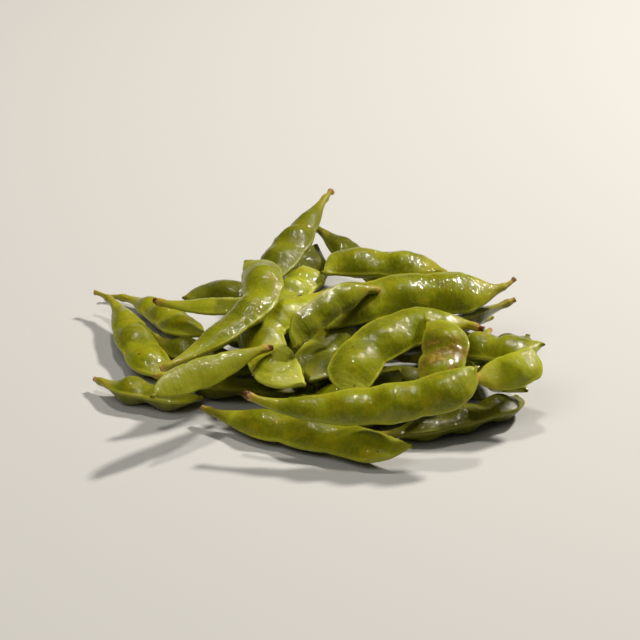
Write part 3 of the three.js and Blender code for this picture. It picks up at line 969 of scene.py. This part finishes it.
        # Wrinkles of the wall, and beads in the film of water over it.
        height: Any = 0.0
        for grain, weight in (
            (grains["wrinkles"], 0.9),
            (grains["fine"], 0.4),
            (grains["flecks"], 0.5),
            (corky, 0.5),
        ):
            weighted = add("Math", {0: grain, 1: weight}, 0, **TIMES)
            height = add("Math", {0: weighted, 1: height}, 0, **PLUS)
        bump = add("Bump", {"Strength": 0.5, "Distance": self.WALL_RELIEF * MM, "Height": height}, 0)
        beads = add("Math", {0: grains["wrinkles"], 1: 0.3}, 0, **TIMES)
        beads = add("Math", {0: beads, 1: grains["drops"]}, 0, **PLUS)
        film = add("Bump", {"Strength": 1.0, "Distance": self.FILM_RELIEF * MM, "Height": beads}, 0)
        wet = add("MapRange", {IN: here["dull"], LEAST: self.WET, MOST: self.DRY}, 0)
        shader = add(
            "BsdfPrincipled",
            {
                "Base Color": colour,
                "Roughness": matt,
                "IOR": 1.42,
                "Normal": bump,
                "Subsurface Weight": 0.12,
                "Subsurface Radius": (0.9, 1.0, 0.25),
                "Subsurface Scale": 1.2 * MM,
                "Specular IOR Level": 0.12,
                "Coat Weight": wet,
                "Coat Roughness": self.FILM_ROUGHNESS,
                "Coat IOR": 1.4,
                "Coat Normal": film,
            },
            "BSDF",
        )
        add("OutputMaterial", {"Surface": shader}, None)
        return material


SKINS = {
    Skin.PALE: PodSkin("boiled_pod_skin_pale", "#93980D", "#6A6F06", "#9B8D06", "#B6B840"),
    Skin.GREEN: PodSkin("boiled_pod_skin_green", "#7F8405", "#525802", "#8C8003", "#A4A62E"),
    Skin.DEEP: PodSkin("boiled_pod_skin_deep", "#5C6004", "#393D01", "#665C03", "#7D7F24"),
}


# ---- The pods of the heap -----------------------------------------------------------------------

SHOWN: dict[str, tuple[PodForm, PodLook]] = {
    "left_low": (PodForm(length=34, beans=(1, 0.9)), PodLook(ripe=0.5)),
    "left_under": (PodForm(length=44), PodLook(skin=Skin.DEEP, dull=0.6)),
    "left_back": (
        PodForm(length=50, stem=7, bend=-12, hook=-65, taper=0.5),
        PodLook(ripe=0.6, stub=Stub.FRESH),
    ),
    "left_tail": (
        PodForm(length=58, stem=7, bend=22, hook=-60, taper=0.55),
        PodLook(ripe=0.5, stub=Stub.FRESH),
    ),
    "left_far": (PodForm(length=50, beans=(1, 0.8)), PodLook(skin=Skin.DEEP)),
    "back_prop": (PodForm(length=32, beans=(1, 1)), PodLook(skin=Skin.DEEP, dull=0.6)),
    "back_low": (
        PodForm(length=50, stem=6, hook=-50, taper=0.5),
        PodLook(skin=Skin.DEEP, stub=Stub.FRESH),
    ),
    "right_behind": (PodForm(length=44, bend=30), PodLook(skin=Skin.DEEP)),
    "front_under": (PodForm(length=52, bend=30), PodLook(skin=Skin.DEEP, dull=0.4)),
    "front_fill": (PodForm(length=44, bend=20), PodLook(skin=Skin.DEEP, dull=0.6)),
    "right_stub": (PodForm(length=44, beans=(1, 1)), PodLook()),
    "back_under": (PodForm(length=38, bend=16), PodLook(skin=Skin.PALE)),
    "left_edge": (
        PodForm(length=46, width=11, depth=7, stem=3, beans=(0.4, 0.6), taper=0.5),
        PodLook(skin=Skin.PALE, ripe=0.1, stub=Stub.DARK, dents=0.2, dull=0.4, dark=0.4),
    ),
    "back_tip": (
        PodForm(length=51, stem=5, cut=1.35, bend=-8, hook=10, taper=0.65),
        PodLook(ripe=0.7, dull=0.4, dark=0.6),
    ),
    "centre_under": (
        PodForm(length=54, width=14, beans=(0.8, 1, 0.3), bend=29, close=0.15),
        PodLook(ripe=0.1),
    ),
    "right_under": (PodForm(length=42, beans=(0.5, 0.8)), PodLook(skin=Skin.DEEP)),
    "centre_kinked": (
        PodForm(length=60, width=14.5, beans=(1, 1, 0.3), bend=10, kink=60, close=0.14),
        PodLook(skin=Skin.PALE, ripe=0.2, dents=1.3),
    ),
    "right_big": (
        PodForm(
            length=60, width=15.5, depth=10, stem=6, beans=(1, 1, 0.6), bend=48, hook=-75,
            taper=0.22, close=0.45,
        ),
        PodLook(ripe=0.35, stub=Stub.ROSY),
    ),
    "back_flat": (
        PodForm(length=40, width=13.5, beans=(0.9, 1), bend=25, taper=0.25, close=0.14),
        PodLook(),
    ),
    "centre_thin": (
        PodForm(length=40, width=9, depth=6, stem=3, beans=(0.7, 0.8, 0.6)),
        PodLook(ripe=0.1, dents=0.6, dark=0.2),
    ),
    "left_cross": (
        PodForm(
            length=69, stem=2.5, beans=(0.7, 0.9, 1), bend=16, kink=36, kink_at=0.6,
            taper=0.42, close=0.14,
        ),
        PodLook(ripe=0.4, stub=Stub.FRESH),
    ),
    "front_rim": (PodForm(length=65, bend=-12), PodLook(ripe=0.5)),
    "right_back": (PodForm(length=32, beans=(0.9, 1), close=0.14), PodLook()),
    "right_front": (
        PodForm(length=24, width=12, stem=2, beans=(1,)),
        PodLook(skin=Skin.PALE, ripe=0.1, stub=Stub.DARK, dull=0.5, dark=0.3),
    ),
    "centre_arch": (
        PodForm(length=59, width=15, cut=1.2, bend=82, taper=0.3, close=0.12),
        PodLook(ripe=0.2, stub=Stub.DARK),
    ),
    "blotched": (
        PodForm(length=38, width=14.5, beans=(0.8, 1), bend=64, taper=0.5, close=0.34, point=4),
        PodLook(ripe=0.5, scarred=True),
    ),
    "left_leaf": (
        PodForm(
            length=47, width=9.5, depth=6, stem=3, beans=(0.2, 0.35, 0.2), bend=-20, taper=0.6,
            close=0.4,
        ),
        PodLook(skin=Skin.PALE, ripe=0.7, stub=Stub.DARK, dents=0.2, dull=0.8, dark=0.7),
    ),
    "front_long": (
        PodForm(
            length=70, stem=2, cut=1.2, beans=(0.6, 0.9, 1, 0.9), bend=32, taper=0.6, close=0.16,
        ),
        PodLook(ripe=0.4, stub=Stub.DARK),
    ),
}


POD_STEP, TRAIT_STEP, BOTH_STEP = 0.6180339887, 0.7548776662, 0.5698402909


def share(index: int, trait: int) -> float:
    """A share from 0 to 1 for each trait of each packed pod, spread evenly over them."""
    return (index * POD_STEP + trait * TRAIT_STEP + index * trait * BOTH_STEP) % 1


def packed_pod(name: str) -> Pod:
    """A pod packed under the others, whose form follows from its number.

    Args:
        name: The node's name, which ends in the number.

    Returns:
        The pod.
    """
    index = int(name.rsplit("_", 1)[1])

    def between(trait: int, low: float, high: float) -> float:
        """A value between two limits, by this pod's share of a trait."""
        return low + (high - low) * share(index, trait)

    beans = (between(1, 0.7, 1), between(2, 0.8, 1), between(3, 0.5, 1))
    form = PodForm(
        length=between(4, 42, 56),
        width=between(5, 11.5, 13.5),
        depth=between(6, 8, 9.6),
        bend=between(7, -45, 45),
        beans=beans if share(index, 8) > 0.4 else beans[:2],
        beak=1 if share(index, 9) > 0.5 else -1,
    )
    skin = Skin.GREEN if share(index, 10) > 0.5 else Skin.DEEP
    return Pod(name, form, PodLook(skin=skin, dull=0.6), packed=True)


@dataclass
class Heap:
    """The whole heap of pods."""

    nodes: dict[str, bpy.types.Object]

    def build(self) -> list[bpy.types.Object]:
        """Makes every pod, dresses it and lets it stand for its node.

        Returns:
            The pods' objects.
        """
        low, high = (np.array(corner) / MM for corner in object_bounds())
        materials = {skin: finish.build() for skin, finish in SKINS.items()}
        made = []
        for name in sorted(self.nodes):
            pod = Pod(name, *SHOWN[name]) if name in SHOWN else packed_pod(name)
            obj = pod.build(self.nodes[name], low, high)
            obj.data.materials.append(materials[pod.look.skin])
            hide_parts(name)
            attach(obj, "root")
            made.append(obj)
        return made


# ---- The studio ---------------------------------------------------------------------------------


@dataclass(frozen=True)
class SoftLight:
    """An area light aimed at the heap."""

    name: str
    azimuth: float  # degrees to the right of straight behind the heap
    elevation: float
    distance: float  # metres
    size: float  # metres
    power: float  # watts
    colour: str
    mirrored: bool = True  # whether glossy skin shows its reflection

    def build(self, target: Vector) -> bpy.types.Object:
        """Makes the light.

        Args:
            target: The point that it is aimed at, in metres.

        Returns:
            The light, linked to the scene.
        """
        data = bpy.data.lights.new(self.name, "AREA")
        data.shape = "DISK"
        data.size = self.size
        data.energy = self.power
        data.color = linear(self.colour)[:3]
        obj = bpy.data.objects.new(self.name, data)
        obj.visible_glossy = self.mirrored
        turn, rise = math.radians(self.azimuth), math.radians(self.elevation)
        away = Vector(
            (math.sin(turn) * math.cos(rise), math.cos(turn) * math.cos(rise), math.sin(rise))
        )
        obj.location = target + away * self.distance
        obj.rotation_euler = away.to_track_quat("Z", "Y").to_euler()
        bpy.context.scene.collection.objects.link(obj)
        return obj


@dataclass(frozen=True)
class Studio:
    """A pale floor, soft lights and the camera."""

    target: tuple[float, float, float] = (2.57, -5.41, 15.0)  # mm
    distance: float = 979.0
    elevation: float = 24.0
    lens: float = 180.0
    sensor: float = 36.0
    floor_size: float = 6.0  # metres
    floor_colour: str = "#B2B3B3"
    floor_roughness: float = 0.85
    room_colour: str = "#F2F0EC"
    room_strength: float = 0.07
    lights: tuple[SoftLight, ...] = (
        SoftLight("key", 52, 46, 1.1, 0.13, 16, "#FFF6EA"),
        SoftLight("fill", -150, 50, 1.4, 0.9, 7, "#FFFAF2", mirrored=False),
        SoftLight("top", 0, 78, 1.3, 0.15, 7, "#FFF6E8"),
    )

    def build(self) -> None:
        """Makes the floor, the world, the lights and the camera."""
        target = Vector(self.target) * MM
        bpy.context.scene.view_settings.view_transform = "Standard"
        self._floor()
        self._world()
        for light in self.lights:
            light.build(target)
        self._camera(target)

    def _floor(self) -> None:
        """Makes the plain floor, a matt card."""
        half = self.floor_size / 2
        mesh = bpy.data.meshes.new("floor")
        corners = [(-half, -half, 0), (half, -half, 0), (half, half, 0), (-half, half, 0)]
        mesh.from_pydata(corners, [], [(0, 1, 2, 3)])
        material = bpy.data.materials.new("matt_card")
        material.use_nodes = True
        shader = material.node_tree.nodes["Principled BSDF"]
        shader.inputs["Base Color"].default_value = linear(self.floor_colour)
        shader.inputs["Roughness"].default_value = self.floor_roughness
        mesh.materials.append(material)
        floor = bpy.data.objects.new("floor", mesh)
        bpy.context.scene.collection.objects.link(floor)
        floor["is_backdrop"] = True

    def _world(self) -> None:
        """Gives the room a pale, even light."""
        world = bpy.data.worlds.new("room")
        world.use_nodes = True
        background = world.node_tree.nodes["Background"]
        background.inputs["Color"].default_value = linear(self.room_colour)
        background.inputs["Strength"].default_value = self.room_strength
        bpy.context.scene.world = world

    def _camera(self, target: Vector) -> None:
        """Makes the camera, which looks along +Y from above.

        Args:
            target: The point that it looks at, in metres.
        """
        data = bpy.data.cameras.new("camera")
        data.lens = self.lens
        data.sensor_width = self.sensor
        rise = math.radians(self.elevation)
        away = Vector((0, -math.cos(rise), math.sin(rise)))
        camera = bpy.data.objects.new("camera", data)
        camera.location = target + away * self.distance * MM
        camera.rotation_euler = away.to_track_quat("Z", "Y").to_euler()
        bpy.context.scene.collection.objects.link(camera)
        bpy.context.scene.camera = camera


def main() -> None:
    """Loads the frame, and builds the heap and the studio."""
    logging.basicConfig(level=logging.INFO, format="%(name)s: %(message)s")
    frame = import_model()
    pods = Heap(frame["nodes"]).build()
    log.info("%d pods", len(pods))
    Studio().build()


if __name__ == "__main__":
    main()
